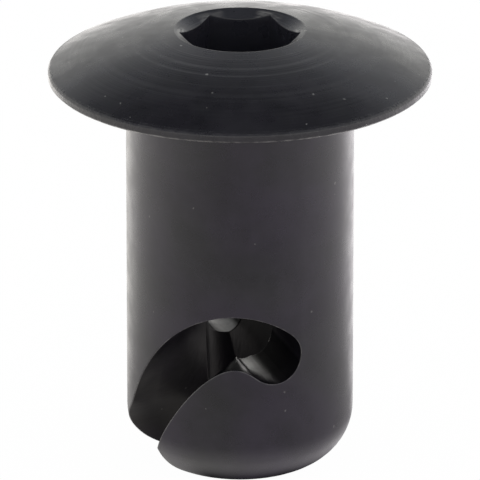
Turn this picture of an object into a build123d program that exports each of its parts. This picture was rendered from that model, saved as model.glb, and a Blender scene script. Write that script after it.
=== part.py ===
"""Quarter turn panel fastener: one turned stud with two milled cam slots.

Millimetres. The stud stands upright on its foot, its axis on Z, the front slot toward -Y.
"""
import math
import os

from build123d import *

os.makedirs("parts", exist_ok=True)

# Turned stud
head_diameter = 18.67
head_edge_height = 0.44
dome_radius = 22.15
head_height = 2.41
head_edge_break = 0.09
shank_diameter = 11.11
shank_length = 19.87
shank_corner_radius = 2.87
root_chamfer = 0.2

# Hex socket in the dome
hex_across_flats = 5.10
hex_depth = 5.0
mouth_diameter = 6.38
mouth_angle = 118.0

# Axial bore from the foot
bore_diameter = 3.32
bore_depth = 11.2
drill_angle = 118.0

# Cam slots: the path of a radial cutter, angles in degrees from the front, heights from the foot
cutter_diameter = 2.75
detent_angle = 18.0
detent_height = 7.245
hump_angle = -2.6
hump_height = 8.06
start_angle = -90.0
# Angle, height and rise per degree at the entry, on the ramp and on the hump
ramp = [
    (-79.5, 0.50, 0.20),
    (-57.0, 3.18, 0.165),
    (hump_angle, hump_height, 0.0),
]
lead_in_angle = -64.3
lead_in_height = 1.65
slot_count = 2

cutter_radius = cutter_diameter / 2
shank_radius = shank_diameter / 2
bore_radius = bore_diameter / 2
total_height = shank_length + head_height


def turned_stud():
    """Revolve the outside of the stud: foot, shank, head underside, edge band and dome."""
    head_radius = head_diameter / 2
    foot = Vector(shank_radius - shank_corner_radius, 0)
    corner_top = Vector(shank_radius, shank_corner_radius)
    root_low = Vector(shank_radius, shank_length - root_chamfer)
    root_out = Vector(shank_radius + root_chamfer, shank_length)
    edge_low = Vector(head_radius, shank_length)
    edge_top = Vector(head_radius, shank_length + head_edge_height)
    rim = Vector(mouth_diameter / 2, total_height)
    top = Vector(0, total_height)
    bow = math.sin(math.radians(45))
    corner_mid = foot + Vector(bow, 1 - bow) * shank_corner_radius
    profile = [
        Line((0, 0), foot),
        ThreePointArc(foot, corner_mid, corner_top),
        Line(corner_top, root_low),
        Line(root_low, root_out),
        Line(root_out, edge_low),
        Line(edge_low, edge_top),
        ThreePointArc(edge_top, dome_middle(edge_top, rim), rim),
        Line(rim, top),
        Line(top, (0, 0)),
    ]
    section = make_face(Curve(children=profile).edges())
    section = chamfer(section.vertices().group_by(Axis.X)[-1], head_edge_break)
    return revolve(Plane.XZ * section, Axis.Z)


def dome_middle(edge_top, rim):
    """Middle point of the dome arc between the edge band and the socket mouth."""
    chord = edge_top - rim
    half = chord.length / 2
    sagitta = dome_radius - math.sqrt(dome_radius**2 - half**2)
    outward = Vector(-chord.Y, chord.X).normalized()
    return (edge_top + rim) / 2 + outward * sagitta


def hex_socket():
    """Hex socket with a conical mouth and the point of its pilot drill at the bottom."""
    floor = total_height - hex_depth
    prism = extrude(RegularPolygon(hex_across_flats / 2, 6, major_radius=False), hex_depth + 1)
    point_height = hex_across_flats / 2 / math.tan(math.radians(drill_angle / 2))
    point = Cone(0.001, hex_across_flats / 2, point_height,
                 align=(Align.CENTER, Align.CENTER, Align.MAX))
    slope = math.tan(math.radians(mouth_angle / 2))
    mouth_height = mouth_diameter / 2 / slope
    mouth = Cone(0.001, mouth_diameter / 2 + slope, mouth_height + 1,
                 align=(Align.CENTER, Align.CENTER, Align.MIN))
    return (Pos(0, 0, floor) * prism + Pos(0, 0, floor) * point
            + Pos(0, 0, total_height - mouth_height) * mouth)


def axial_bore():
    """Drilled bore from the foot with its drill point."""
    point_height = bore_radius / math.tan(math.radians(drill_angle / 2))
    barrel = Cylinder(bore_radius, bore_depth + 1, align=(Align.CENTER, Align.CENTER, Align.MIN))
    point = Cone(bore_radius, 0.001, point_height, align=(Align.CENTER, Align.CENTER, Align.MIN))
    return Pos(0, 0, -1) * barrel + Pos(0, 0, bore_depth) * point


def cutter_path(angle):
    """Height of the cutter axis and its rise per radian at an angle in radians."""
    entry = math.radians(ramp[0][0])
    hump = math.radians(hump_angle)
    if angle >= hump:
        bend = (hump_height - detent_height) / math.radians(detent_angle - hump_angle) ** 2
        return hump_height - bend * (angle - hump) ** 2, -2 * bend * (angle - hump)
    for before, after in zip(ramp[:-1], ramp[1:]):
        if math.radians(before[0]) <= angle < math.radians(after[0]):
            return blend(angle, before, after)
    entry_rise = math.degrees(ramp[0][2])
    return ramp[0][1] + entry_rise * (angle - entry), entry_rise


def blend(angle, before, after):
    """Cubic between two ramp points, as height and rise per radian."""
    span = math.radians(after[0] - before[0])
    u = (angle - math.radians(before[0])) / span
    low_rise = math.degrees(before[2]) * span
    high_rise = math.degrees(after[2]) * span
    height = ((2 * u**3 - 3 * u**2 + 1) * before[1] + (u**3 - 2 * u**2 + u) * low_rise
              + (3 * u**2 - 2 * u**3) * after[1] + (u**3 - u**2) * high_rise)
    rise = ((6 * u**2 - 6 * u) * before[1] + (3 * u**2 - 4 * u + 1) * low_rise
            + (6 * u - 6 * u**2) * after[1] + (3 * u**2 - 2 * u) * high_rise) / span
    return height, rise


def cutter_edge(angle, turn, radius):
    """Point of the cutter's side at one turn of the cutter, on a cylinder round the stud."""
    height, _ = cutter_path(angle)
    shift = math.asin(cutter_radius * math.cos(turn) / radius)
    return angle + shift, height + cutter_radius * math.sin(turn)


def contact_turn(angle, radius, side):
    """Turn of the cutter where its side touches the slot wall: side 1 above, -1 below."""
    _, rise = cutter_path(angle)
    turn = side * math.pi / 2
    for _ in range(8):
        reach = math.sqrt(radius**2 - (cutter_radius * math.cos(turn)) ** 2)
        turn = math.atan2(side * reach, -side * rise)
    return turn


def steps(start, end, count):
    """Even values from start to end."""
    return [start + (end - start) * i / count for i in range(count + 1)]


def meeting(first, second):
    """Cut two point lists at their first crossing and end both there."""
    for i in range(len(first) - 1):
        (ax, ay), (bx, by) = first[i], first[i + 1]
        for j in range(len(second) - 1):
            (cx, cy), (dx, dy) = second[j], second[j + 1]
            cross = (bx - ax) * (dy - cy) - (by - ay) * (dx - cx)
            if abs(cross) < 1e-12:
                continue
            s = ((cx - ax) * (dy - cy) - (cy - ay) * (dx - cx)) / cross
            t = ((cx - ax) * (by - ay) - (cy - ay) * (bx - ax)) / cross
            if 0 <= s <= 1 and 0 <= t <= 1:
                point = (ax + s * (bx - ax), ay + s * (by - ay))
                return first[:i + 1] + [point], second[:j + 1] + [point]
    return first, second


def even_points(points, count):
    """Spread a point list evenly along its length."""
    lengths = [0.0]
    for (ax, ay), (bx, by) in zip(points[:-1], points[1:]):
        lengths.append(lengths[-1] + math.hypot(bx - ax, by - ay))
    spread = []
    k = 0
    for target in steps(0.0, lengths[-1], count):
        while k < len(lengths) - 2 and lengths[k + 1] < target:
            k += 1
        span = max(lengths[k + 1] - lengths[k], 1e-12)
        f = (target - lengths[k]) / span
        (ax, ay), (bx, by) = points[k], points[k + 1]
        spread.append((ax + f * (bx - ax), ay + f * (by - ay)))
    return spread


def slot_edges(radius):
    """Upper, detent and lower edge of the slot on a cylinder round the stud."""
    start = math.radians(start_angle)
    hump = math.radians(hump_angle)
    detent = math.radians(detent_angle)

    def touch(angle, side):
        turn = contact_turn(angle, radius, side)
        shifted, height = cutter_edge(angle, turn, radius)
        return shifted * radius, height

    def sweep(turn_from, turn_to):
        turns = steps(turn_from, turn_to, 40)
        points = [cutter_edge(detent, turn, radius) for turn in turns]
        return [(shifted * radius, height) for shifted, height in points]

    upper_turn = contact_turn(detent, radius, 1)
    lower_turn = contact_turn(detent, radius, -1)
    upper = [touch(angle, 1) for angle in steps(start, detent, 160)]
    upper += sweep(upper_turn, 0.0)[1:]
    ramp_side = [touch(angle, -1) for angle in steps(start, hump, 160)]
    detent_side = sweep(0.0, lower_turn)
    detent_side += [touch(angle, -1) for angle in steps(detent, hump, 60)][1:]
    ramp_side, detent_side = meeting(ramp_side, detent_side)
    edges = []
    for points, count in ((upper, 28), (detent_side, 12), (ramp_side, 20)):
        round_stud = [Vector(radius * math.sin(a / radius), -radius * math.cos(a / radius), z)
                      for a, z in even_points(points, count)]
        edges.append(Spline(*round_stud))
    return edges


def wall_between(radii):
    """Smooth slot wall through the slot's edges at several radii."""
    sections = []
    for radius in radii:
        upper, detent_side, ramp_side = slot_edges(radius)
        sections.append(Wire([upper, detent_side, ramp_side, Line(ramp_side @ 0, upper @ 0)]))
    return Solid.make_loft(sections).faces()


def slot_cutter():
    """Solid swept by the cutter: a ring-shaped blank parted by the slot wall.

    The wall has a rounded crest outside the crest radius and a sharp one inside it.
    """
    bend = (hump_height - detent_height) / math.radians(detent_angle - hump_angle) ** 2
    crest_radius = math.sqrt(2 * bend * cutter_radius)
    inside = (bore_radius + cutter_radius) / 2
    outside = shank_radius + 0.6
    near = [inside + (crest_radius - inside) * f for f in (0.0, 0.15, 0.35, 0.6, 0.82, 1.0)]
    far = [crest_radius, (crest_radius + outside) / 2, outside]
    wall = Shell(wall_between(near) + wall_between(far))
    top = hump_height + cutter_diameter
    foot_up = (Align.CENTER, Align.CENTER, Align.MIN)
    ring = Cylinder(outside - 0.2, top + 1, align=foot_up)
    ring -= Cylinder((inside + bore_radius) / 2, top + 1, align=foot_up)
    pieces = (Pos(0, 0, -1) * ring).split(wall, keep=Keep.ALL)
    return min(pieces, key=lambda piece: piece.volume)


def lead_in():
    """Straight cut up from the foot that widens the entry of the slot."""
    length = shank_radius
    side_down = (Align.CENTER, Align.MAX, Align.MAX)
    groove = Box(cutter_diameter, length, lead_in_height + 1, align=side_down)
    end = Rot(90, 0, 0) * Cylinder(cutter_radius, length, align=(Align.CENTER, Align.CENTER, Align.MIN))
    return Rot(0, 0, lead_in_angle) * Pos(0, -bore_radius / 2, lead_in_height) * (groove + end)


cutters = [slot_cutter(), lead_in()]
stud = turned_stud() - hex_socket() - axial_bore()
for i in range(slot_count):
    stud -= [Rot(0, 0, 360 / slot_count * i) * cutter for cutter in cutters]
stud = stud.solid()
stud.label = "fastener_stud"

export_step(stud, "parts/fastener_stud.step")
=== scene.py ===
"""Looks of the quarter turn panel fastener: black anodised stud on a plain white floor."""
import math
from types import SimpleNamespace

import bpy
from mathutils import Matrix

MM = 0.001

# Camera, from the perspective of the photograph: the aim point is on the axis under the head
AIM_HEIGHT = 19.87 * MM
CAMERA_DISTANCE = 416.9 * MM
CAMERA_ELEVATION = 20.13
CAMERA_PITCH = 21.223
LENS = 643.7
SENSOR = 36.0

# Sizes of the stud that the finish follows
HEAD_UNDERSIDE = 19.87 * MM
RIM_RADIUS = 9.15 * MM
CREST_BOTTOM = 6.35 * MM
CREST_TOP = 6.80 * MM
MOUTH_RADIUS = 3.19 * MM
MOUTH_HEIGHT = 22.28 * MM
SOCKET_FLOOR = 14.5 * MM
SHANK_RADIUS = 5.555 * MM
CORNER_RADIUS = 2.87 * MM

# Finish: rounding of the edges, depth of the marks, half the width of a turning ring
EDGE_ROUNDING = 0.10 * MM
RELIEF_DEPTH = 0.03 * MM
RING_HALF_WIDTH = 0.11
GLOSS_IOR = 1.65

# Turning rings of the dome: radius in millimetres and height of the step
TURNING_RINGS = [(3.9, 0.16), (4.74, 0.45), (5.35, 0.34), (6.2, 0.14), (6.85, 0.36), (7.2, 0.20)]

# Colours of the finish
DYE_DARK = (0.0040, 0.0032, 0.0075, 1)
DYE_PALE = (0.0130, 0.0110, 0.0180, 1)
VIOLET_DARK = (0.0055, 0.0022, 0.0115, 1)
VIOLET_PALE = (0.0150, 0.0095, 0.0240, 1)
SOCKET_GREY = (0.027, 0.027, 0.036, 1)
# Pale metal of worn edges and specks, also used to paint highlights on edges, the low rim, the crest and the
# mouth
PALE_METAL_AND_HIGHLIGHT = (0.50, 0.49, 0.47, 1)
# Matt black laid over the slots as painted shade
SLOT_SHADE_BLACK = (0.004, 0.004, 0.005, 1)
SLOT_SHEEN = (1.0, 0.96, 0.90, 1)
WHITE = (1, 1, 1, 1)

# Tints of the light
HORIZON_TINT = (1.0, 0.995, 0.965, 1)
OVERHEAD_TINT = (0.96, 1.0, 1.07, 1)
FLOOR_LEFT_TINT = (1.0, 0.975, 0.935, 1)
FLOOR_RIGHT_TINT = (1.0, 0.965, 0.98, 1)

# Brightness of the studio from the horizon, at height 0, to straight overhead, at height 1
SKY = [
    (0.0, 1.42), (0.15, 1.18), (0.35, 0.97), (0.50, 0.70), (0.60, 0.46),
    (0.68, 0.32), (0.78, 0.21), (0.90, 0.10), (0.945, 0.10), (0.98, 0.36), (1.0, 0.45),
]

# Steps of the floor's brightness: from and to in millimetres off the axis, factor before and after; the first
# two paint a contact shadow under the foot
FLOOR_STEPS = [
    (2.6, 3.6, 5.5, 1.0), (3.9, 5.6, 0.04, 1.0),
    (26, 40, 1.0, 0.90), (44, 62, 1.0, 1.55), (75, 140, 1.0, 0.68),
]
FLOOR_HALF_SIZE = 1.5
FLOOR_SEEN = 1.05
FLOOR_GLOW_SHARE = 0.93


def new_material(name):
    """New material with its node tree and its main shader."""
    material = bpy.data.materials.new(name)
    material.use_nodes = True
    tree = material.node_tree
    shader = next(n for n in tree.nodes if n.type == "BSDF_PRINCIPLED")
    return material, tree, shader


def add(tree, kind, **values):
    """New node with its properties set and its named or numbered inputs filled."""
    node = tree.nodes.new(kind)
    for key, value in values.items():
        if key == "inputs":
            for socket, amount in value.items():
                feed(tree, amount, node.inputs[socket])
        else:
            setattr(node, key, value)
    return node


def feed(tree, source, socket):
    """Link a socket, or set a number or colour."""
    if isinstance(source, bpy.types.NodeSocket):
        tree.links.new(source, socket)
    else:
        socket.default_value = source


def calc(tree, operation, *sources):
    """Result of a math node."""
    node = add(tree, "ShaderNodeMath", operation=operation)
    for source, socket in zip(sources, node.inputs):
        feed(tree, source, socket)
    return node.outputs[0]


def product(tree, first, *others):
    """Product of two or more values."""
    for other in others:
        first = calc(tree, "MULTIPLY", first, other)
    return first


def inverse(tree, source):
    """What is left of a share up to 1."""
    return calc(tree, "SUBTRACT", 1.0, source)


def vector(tree, operation, *sources):
    """Vector result of a vector math node."""
    node = add(tree, "ShaderNodeVectorMath", operation=operation)
    for source, socket in zip(sources, node.inputs):
        feed(tree, source, socket)
    return node.outputs[0]


def scaled(tree, source, amount):
    """Vector times a number."""
    node = add(tree, "ShaderNodeVectorMath", operation="SCALE", inputs={0: source, "Scale": amount})
    return node.outputs[0]


def length(tree, source):
    """Length of a vector."""
    return add(tree, "ShaderNodeVectorMath", operation="LENGTH", inputs={0: source}).outputs["Value"]


def joined(tree, x=0.0, y=0.0, z=0.0):
    """Vector from its three parts."""
    return add(tree, "ShaderNodeCombineXYZ", inputs={0: x, 1: y, 2: z}).outputs[0]


def ramp(tree, source, low, high, low_value=0.0, high_value=1.0):
    """Smooth step from one value to another."""
    node = add(tree, "ShaderNodeMapRange", interpolation_type="SMOOTHSTEP", inputs={
        "Value": source, "From Min": low, "From Max": high, "To Min": low_value, "To Max": high_value})
    return node.outputs[0]


def noise(tree, place, scale, detail=2.0, rough=0.5):
    """Cloudy noise from 0 to 1."""
    node = add(tree, "ShaderNodeTexNoise", inputs={
        "Vector": place, "Scale": scale, "Detail": detail, "Roughness": rough})
    return node.outputs[0]


def mix_color(tree, share, first, second):
    """First colour with a share of the second."""
    node = add(tree, "ShaderNodeMix", data_type="RGBA")
    feed(tree, share, node.inputs["Factor"])
    feed(tree, first, node.inputs[6])
    feed(tree, second, node.inputs[7])
    return node.outputs[2]


def make_camera():
    elevation = math.radians(CAMERA_ELEVATION)
    data = bpy.data.cameras.new("camera")
    data.lens = LENS
    data.sensor_width = SENSOR
    data.clip_start = 0.01
    data.clip_end = 10.0
    camera = bpy.data.objects.new("camera", data)
    camera.location = (
        0,
        -CAMERA_DISTANCE * math.cos(elevation),
        AIM_HEIGHT + CAMERA_DISTANCE * math.sin(elevation),
    )
    camera.rotation_euler = (math.radians(90 - CAMERA_PITCH), 0, 0)
    bpy.context.scene.collection.objects.link(camera)
    bpy.context.scene.camera = camera


def sky_brightness(tree, rise):
    """Brightness of the studio along the curve of SKY."""
    sky = add(tree, "ShaderNodeFloatCurve", inputs={"Value": rise})
    brightest = SKY[0][1]
    curve = sky.mapping.curves[0]
    curve.points[0].location = (SKY[0][0], 1.0)
    curve.points[1].location = (SKY[-1][0], SKY[-1][1] / brightest)
    for height, light in SKY[1:-1]:
        curve.points.new(height, light / brightest)
    sky.mapping.update()
    return product(tree, sky.outputs[0], brightest)


def make_world():
    """White studio: bright and a little warm round the horizon, dim and cooler overhead, dim on the left."""
    world = bpy.data.worlds.new("studio")
    world.use_nodes = True
    bpy.context.scene.world = world
    tree = world.node_tree
    tree.nodes.clear()
    out = add(tree, "ShaderNodeOutputWorld")
    place = add(tree, "ShaderNodeTexCoord")
    split = add(tree, "ShaderNodeSeparateXYZ", inputs={0: place.outputs["Generated"]})
    above = ramp(tree, split.outputs["Z"], 0.30, 0.60)
    low = ramp(tree, split.outputs["Z"], 0.05, 0.20, 1.0, 0.0)
    left = ramp(tree, split.outputs["X"], -0.35, 0.35, 0.25, 0.0)
    dimmed = inverse(tree, product(tree, calc(tree, "MAXIMUM", above, low), left))
    strength = product(tree, sky_brightness(tree, split.outputs["Z"]), dimmed)
    tint = mix_color(tree, above, HORIZON_TINT, OVERHEAD_TINT)
    rays = add(tree, "ShaderNodeLightPath")
    light = add(tree, "ShaderNodeBackground", inputs={"Color": tint, "Strength": strength})
    seen = add(tree, "ShaderNodeBackground", inputs={"Color": WHITE, "Strength": 1.0})
    mix = add(tree, "ShaderNodeMixShader", inputs={
        0: rays.outputs["Is Camera Ray"], 1: light.outputs[0], 2: seen.outputs[0]})
    feed(tree, mix.outputs[0], out.inputs[0])


def floor_brightness(tree, distance, facing, right):
    """Brightness that the floor lends to the stud, from the place of each point round the axis, with a
    painted shadow of the stud close to it and a painted lift just round the foot.
    """
    # Painted shadow of the stud: the glow dims towards the axis
    shade = ramp(tree, distance, 6 * MM, 42 * MM, 0.25, 1.0)
    strength = product(tree, calc(tree, "ADD", facing, 1.0), 0.55)
    strength = product(tree, strength, ramp(tree, right, 0.2, 0.9, 1.0, 0.86))
    strength = calc(tree, "ADD", product(tree, strength, shade), 0.46)
    behind = ramp(tree, facing, 0.42, 0.78, 0.0, 0.65)
    behind = product(tree, behind, ramp(tree, right, -0.5, 0.5, 0.82, 1.2))
    strength = calc(tree, "ADD", strength, behind)
    # Painted lift of the glow just round the foot
    near = ramp(tree, distance, 4.8 * MM, 9.5 * MM, 0.52, 0.0)
    strength = calc(tree, "ADD", strength, near)
    for start, end, first, last in FLOOR_STEPS:
        strength = product(tree, strength, ramp(tree, distance, start * MM, end * MM, first, last))
    # Painted lift on the left side, just round the foot
    left = ramp(tree, right, -0.35, -0.75, 0.0, 0.35)
    left = product(tree, left, ramp(tree, distance, 5.6 * MM, 4.2 * MM))
    return calc(tree, "ADD", strength, left)


def make_floor():
    """White floor, dimmer on the camera's side and, as a painted shadow, close to the foot; it keeps a trace
    of the real shadow.
    """
    size = FLOOR_HALF_SIZE
    mesh = bpy.data.meshes.new("floor")
    corners = [(-size, -size, 0), (size, -size, 0), (size, size, 0), (-size, size, 0)]
    mesh.from_pydata(corners, [], [(0, 1, 2, 3)])
    floor = bpy.data.objects.new("floor", mesh)
    bpy.context.scene.collection.objects.link(floor)
    material, tree, shader = new_material("floor_white")
    shader.inputs["Base Color"].default_value = (0.8, 0.8, 0.8, 1)
    shader.inputs["Roughness"].default_value = 0.9
    shader.inputs["Specular IOR Level"].default_value = 0.0
    out = next(n for n in tree.nodes if n.type == "OUTPUT_MATERIAL")
    place = add(tree, "ShaderNodeTexCoord").outputs["Object"]
    split = add(tree, "ShaderNodeSeparateXYZ", inputs={0: place})
    distance = calc(tree, "MAXIMUM", length(tree, place), 0.001)
    facing = calc(tree, "DIVIDE", split.outputs["Y"], distance)
    right = calc(tree, "DIVIDE", split.outputs["X"], distance)
    tint = mix_color(tree, ramp(tree, right, -0.5, 0.5), FLOOR_LEFT_TINT, FLOOR_RIGHT_TINT)
    strength = floor_brightness(tree, distance, facing, right)
    rays = add(tree, "ShaderNodeLightPath")
    glow = add(tree, "ShaderNodeEmission", inputs={"Color": tint, "Strength": strength})
    seen = add(tree, "ShaderNodeEmission", inputs={"Color": WHITE, "Strength": FLOOR_SEEN})
    white = add(tree, "ShaderNodeMixShader", inputs={
        0: rays.outputs["Is Camera Ray"], 1: glow.outputs[0], 2: seen.outputs[0]})
    mix = add(tree, "ShaderNodeMixShader", inputs={
        0: FLOOR_GLOW_SHARE, 1: shader.outputs[0], 2: white.outputs[0]})
    feed(tree, mix.outputs[0], out.inputs["Surface"])
    mesh.materials.append(material)


def skin_depth(tree, radius, height):
    """Depth of a point under the shank's skin and the rounded corner of the foot."""
    drop = calc(tree, "MAXIMUM", calc(tree, "SUBTRACT", CORNER_RADIUS, height), 0.0)
    bulge = calc(tree, "SQRT", calc(tree, "SUBTRACT", CORNER_RADIUS**2, product(tree, drop, drop)))
    skin = calc(tree, "ADD", bulge, SHANK_RADIUS - CORNER_RADIUS)
    return calc(tree, "SUBTRACT", skin, radius)


def stud_zones(tree):
    """Places, normals and zones of the stud that its finish follows."""
    at = SimpleNamespace()
    at.place = add(tree, "ShaderNodeTexCoord").outputs["Object"]
    axes = add(tree, "ShaderNodeSeparateXYZ", inputs={0: at.place})
    at.right, at.back, at.height = axes.outputs
    flat = joined(tree, at.right, at.back)
    at.radius = length(tree, flat)
    at.outward = vector(tree, "NORMALIZE", flat)
    at.depth = skin_depth(tree, at.radius, at.height)

    at.soft = add(tree, "ShaderNodeBevel", samples=8, inputs={"Radius": EDGE_ROUNDING}).outputs[0]
    true = add(tree, "ShaderNodeNewGeometry").outputs["Normal"]
    normal = add(tree, "ShaderNodeSeparateXYZ", inputs={0: true})
    at.sideways = normal.outputs["X"]
    at.upward = normal.outputs["Z"]
    turn = add(tree, "ShaderNodeVectorMath", operation="DOT_PRODUCT", inputs={0: at.soft, 1: true})
    at.edge = ramp(tree, turn.outputs["Value"], 0.99, 0.85)

    at.on_head = calc(tree, "GREATER_THAN", at.height, HEAD_UNDERSIDE - 0.02 * MM)
    at.on_shank = inverse(tree, at.on_head)
    at.on_rim = product(tree, at.on_head, calc(tree, "GREATER_THAN", at.radius, RIM_RADIUS))
    outside_mouth = ramp(tree, at.radius, MOUTH_RADIUS - 0.05 * MM, MOUTH_RADIUS)
    at.on_dome = product(tree, at.on_head, outside_mouth)
    at.in_mouth = product(tree, calc(tree, "GREATER_THAN", at.height, SOCKET_FLOOR),
                          calc(tree, "LESS_THAN", at.radius, MOUTH_RADIUS))
    mouth_top = ramp(tree, at.height, MOUTH_HEIGHT - 0.9 * MM, MOUTH_HEIGHT - 0.4 * MM)
    at.on_cone = product(tree, at.in_mouth, mouth_top)

    below_socket = calc(tree, "LESS_THAN", at.height, SOCKET_FLOOR)
    foot_plane = calc(tree, "LESS_THAN", at.height, 0.01 * MM)
    under_skin = ramp(tree, at.depth, 0.02 * MM, 0.06 * MM)
    at.in_slot = product(tree, below_socket, under_skin, inverse(tree, foot_plane))
    at.on_crest = product(tree, at.in_slot, calc(tree, "GREATER_THAN", at.height, CREST_BOTTOM),
                          calc(tree, "LESS_THAN", at.height, CREST_TOP))
    # Painted highlight along the edges of the crest, where they face up
    at.crest_edge = product(tree, ramp(tree, at.edge, 0.08, 0.50), at.on_crest,
                            ramp(tree, at.upward, 0.3, 0.6))
    at.knocks = ramp(tree, noise(tree, at.place, 1700.0, 5.0, 0.75), 0.40, 0.66)
    return at


def key_rubs_and_glints(tree, at):
    """Streaks that the corners of the key have worn in the mouth of the socket, which also stand as painted
    glints, stronger on the back wall.
    """
    swept = vector(tree, "ADD", scaled(tree, at.outward, MOUTH_RADIUS),
                   joined(tree, z=product(tree, at.height, 12.0)))
    streaks = ramp(tree, noise(tree, swept, 900.0, 3.0, 0.6), 0.36, 0.58)
    turned = product(tree, calc(tree, "ARCTAN2", at.back, at.right), 6.0)
    corner = ramp(tree, calc(tree, "COSINE", turned), -0.2, 0.8)
    # Stronger behind, where the painted glints sit on the back wall of the mouth
    more_behind = ramp(tree, at.back, -0.5 * MM, 1.5 * MM, 0.4, 1.0)
    patches = ramp(tree, noise(tree, at.place, 330.0), 0.40, 0.56, 0.15, 1.0)
    below_rim = ramp(tree, at.radius, 3.14 * MM, 2.99 * MM)
    off_walls = ramp(tree, at.upward, 0.4, 0.7)
    return product(tree, corner, more_behind, patches, below_rim, at.on_cone, off_walls, streaks)


def wear_and_highlight_share(tree, at):
    """How pale the dye turns: worn outer edges, low rim of the head, edges of the crest and the mouth, partly
    wear and partly painted highlights.
    """
    outside = calc(tree, "MAXIMUM", calc(tree, "LESS_THAN", at.depth, 0.15 * MM), at.on_dome)
    chips = ramp(tree, noise(tree, at.place, 1800.0, 5.0, 0.7), 0.42, 0.62, 0.045, 0.30)
    # Pale outer edges: partly worn metal, partly a painted highlight where the rounded edge catches light
    wear_and_highlight = product(tree, at.edge, outside, chips)
    # Pale band along the low rim of the head: partly knocks, partly a painted highlight of its lower edge
    low = ramp(tree, at.height, HEAD_UNDERSIDE, HEAD_UNDERSIDE + 0.14 * MM, 0.5, 0.0)
    for more in (product(tree, at.on_rim, low, at.knocks), at.crest_edge, key_rubs_and_glints(tree, at)):
        wear_and_highlight = calc(tree, "MAXIMUM", wear_and_highlight, more)
    return wear_and_highlight


def specks(tree, at):
    """Small ragged pale specks, plainer on the head than on the shank."""
    ragged = add(tree, "ShaderNodeTexNoise", inputs={"Vector": at.place, "Scale": 7000.0, "Detail": 1.0})
    shifted = vector(tree, "ADD", at.place, scaled(tree, ragged.outputs["Color"], 0.10 * MM))
    cells = add(tree, "ShaderNodeTexVoronoi", inputs={"Vector": shifted, "Scale": 1000.0})
    size = ramp(tree, cells.outputs["Color"], 0.15, 0.85, 0.0, 0.070)
    speck = calc(tree, "LESS_THAN", cells.outputs["Distance"], size)
    return product(tree, speck, calc(tree, "ADD", product(tree, at.on_head, 0.35), 0.20))


def dye_and_highlight_color(tree, at):
    """Uneven dye with a violet cast on parts of the shank, greyer in the mouth, pale where it is worn, at
    specks and where highlights are painted.
    """
    cloud = ramp(tree, noise(tree, at.place, 420.0, 5.0, 0.65), 0.32, 0.68)
    hue = ramp(tree, noise(tree, at.place, 230.0, 2.0), 0.35, 0.65)
    plain = mix_color(tree, cloud, DYE_DARK, DYE_PALE)
    violet = mix_color(tree, cloud, VIOLET_DARK, VIOLET_PALE)
    dye = mix_color(tree, product(tree, hue, at.on_shank), plain, violet)
    dye = mix_color(tree, at.in_mouth, dye, SOCKET_GREY)
    pale = calc(tree, "MAXIMUM", wear_and_highlight_share(tree, at), specks(tree, at))
    return mix_color(tree, pale, dye, PALE_METAL_AND_HIGHLIGHT)


def cut_marks(tree, at):
    """Relief of turning rings on the dome, turning lines, feed marks in the slots, grain and knocks."""
    fine_rings = noise(tree, joined(tree, at.radius), 7000.0, 2.0)
    rings = product(tree, fine_rings, 0.35)
    for ring, step in TURNING_RINGS:
        rise = ramp(tree, at.radius, (ring - RING_HALF_WIDTH) * MM, (ring + RING_HALF_WIDTH) * MM, 0.0, step)
        rings = calc(tree, "ADD", rings, rise)
    patches = ramp(tree, noise(tree, at.place, 170.0, 1.0), 0.36, 0.62, 0.30, 1.0)
    lift = joined(tree, z=at.height)
    lines = noise(tree, lift, 6000.0, 2.0)
    around = vector(tree, "ADD", scaled(tree, at.outward, SHANK_RADIUS), lift)
    feeds = noise(tree, around, 2200.0, 2.0)
    grain = noise(tree, at.place, 5000.0, 2.0)
    relief = product(tree, rings, at.on_dome, patches)
    marks = [
        (lines, at.on_shank, 0.06),
        (feeds, at.in_slot, 0.35),
        (grain, 1.0, 0.04),
        (fine_rings, at.on_cone, 2.5),
        (at.knocks, at.on_rim, 0.35),
    ]
    for mark, zone, amount in marks:
        relief = calc(tree, "ADD", relief, product(tree, mark, zone, amount))
    return relief


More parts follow.
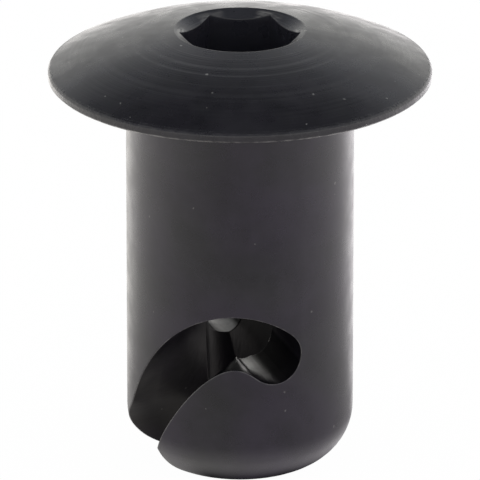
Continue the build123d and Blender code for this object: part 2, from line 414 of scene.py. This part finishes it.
def slot_painted_shade(tree, at):
    """Share of painted shade in the slots: matt black over walls that are not level, the flat top of the
    crest, the far side of the front detent's floor and floors close to the skin, while level floors keep
    their gloss.
    """
    # Normals turned to the right count as more level, so the painted shade lifts where the light comes from
    # the right
    lean = product(tree, calc(tree, "MAXIMUM", at.sideways, 0.0), 0.22)
    level = calc(tree, "ADD", at.upward, lean)
    tilted = ramp(tree, at.upward, 0.18, 0.36, 0.62, 0.90)
    shade_share = product(tree, tilted, ramp(tree, level, 0.87, 0.985, 1.0, 0.0))
    on_floor = ramp(tree, at.upward, 0.80, 0.88)
    # Painted shade on the far side of the front detent's floor and on floors close to the skin
    front = ramp(tree, at.back, 0.5 * MM, -0.5 * MM)
    far_side = product(tree, ramp(tree, at.sideways, 0.08, -0.26, 0.0, 0.86), front)
    near_skin = ramp(tree, at.depth, 0.7 * MM, 0.2 * MM, 0.0, 0.6)
    shaded = product(tree, calc(tree, "MAXIMUM", far_side, near_skin), on_floor)
    # Painted shade on the flat top of the crest
    crest_top = product(tree, at.on_crest, ramp(tree, at.upward, 0.86, 0.96, 0.10, 0.85))
    shade_share = calc(tree, "MAXIMUM", calc(tree, "MAXIMUM", shade_share, crest_top), shaded)
    return product(tree, shade_share, inverse(tree, product(tree, at.crest_edge, 0.8)), at.in_slot)


def anodised():
    """Satin black anodised aluminium with turning rings, worn edges with painted highlights, specks, and
    milled slot walls with painted shade.
    """
    material, tree, shader = new_material("black_anodised_satin")
    at = stud_zones(tree)
    feed(tree, dye_and_highlight_color(tree, at), shader.inputs["Base Color"])
    bump = add(tree, "ShaderNodeBump", inputs={
        "Strength": 1.0, "Distance": RELIEF_DEPTH, "Height": cut_marks(tree, at), "Normal": at.soft})
    feed(tree, bump.outputs[0], shader.inputs["Normal"])
    rough = ramp(tree, noise(tree, at.place, 900.0, 3.0), 0.3, 0.7, 0.25, 0.35)
    rough = calc(tree, "ADD", rough, product(tree, at.in_slot, 0.05))
    feed(tree, rough, shader.inputs["Roughness"])
    feed(tree, mix_color(tree, at.in_slot, WHITE, SLOT_SHEEN), shader.inputs["Specular Tint"])
    shader.inputs["IOR"].default_value = GLOSS_IOR
    # Matt black mixed in by the share of painted shade in the slots
    black = add(tree, "ShaderNodeBsdfDiffuse", inputs={"Color": SLOT_SHADE_BLACK})
    surface = add(tree, "ShaderNodeMixShader", inputs={
        0: slot_painted_shade(tree, at), 1: shader.outputs[0], 2: black.outputs[0]})
    out = next(n for n in tree.nodes if n.type == "OUTPUT_MATERIAL")
    feed(tree, surface.outputs[0], out.inputs["Surface"])
    return material


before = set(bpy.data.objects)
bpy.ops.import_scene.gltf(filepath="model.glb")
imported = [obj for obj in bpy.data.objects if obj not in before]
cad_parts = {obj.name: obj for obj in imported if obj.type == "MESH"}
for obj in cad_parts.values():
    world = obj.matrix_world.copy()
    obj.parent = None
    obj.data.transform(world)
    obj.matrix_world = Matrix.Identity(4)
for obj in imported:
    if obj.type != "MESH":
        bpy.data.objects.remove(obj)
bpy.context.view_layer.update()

bpy.context.scene.view_settings.view_transform = "Standard"
make_camera()
make_world()
make_floor()

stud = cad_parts["fastener_stud"]
stud.data.materials.clear()
stud.data.materials.append(anodised())
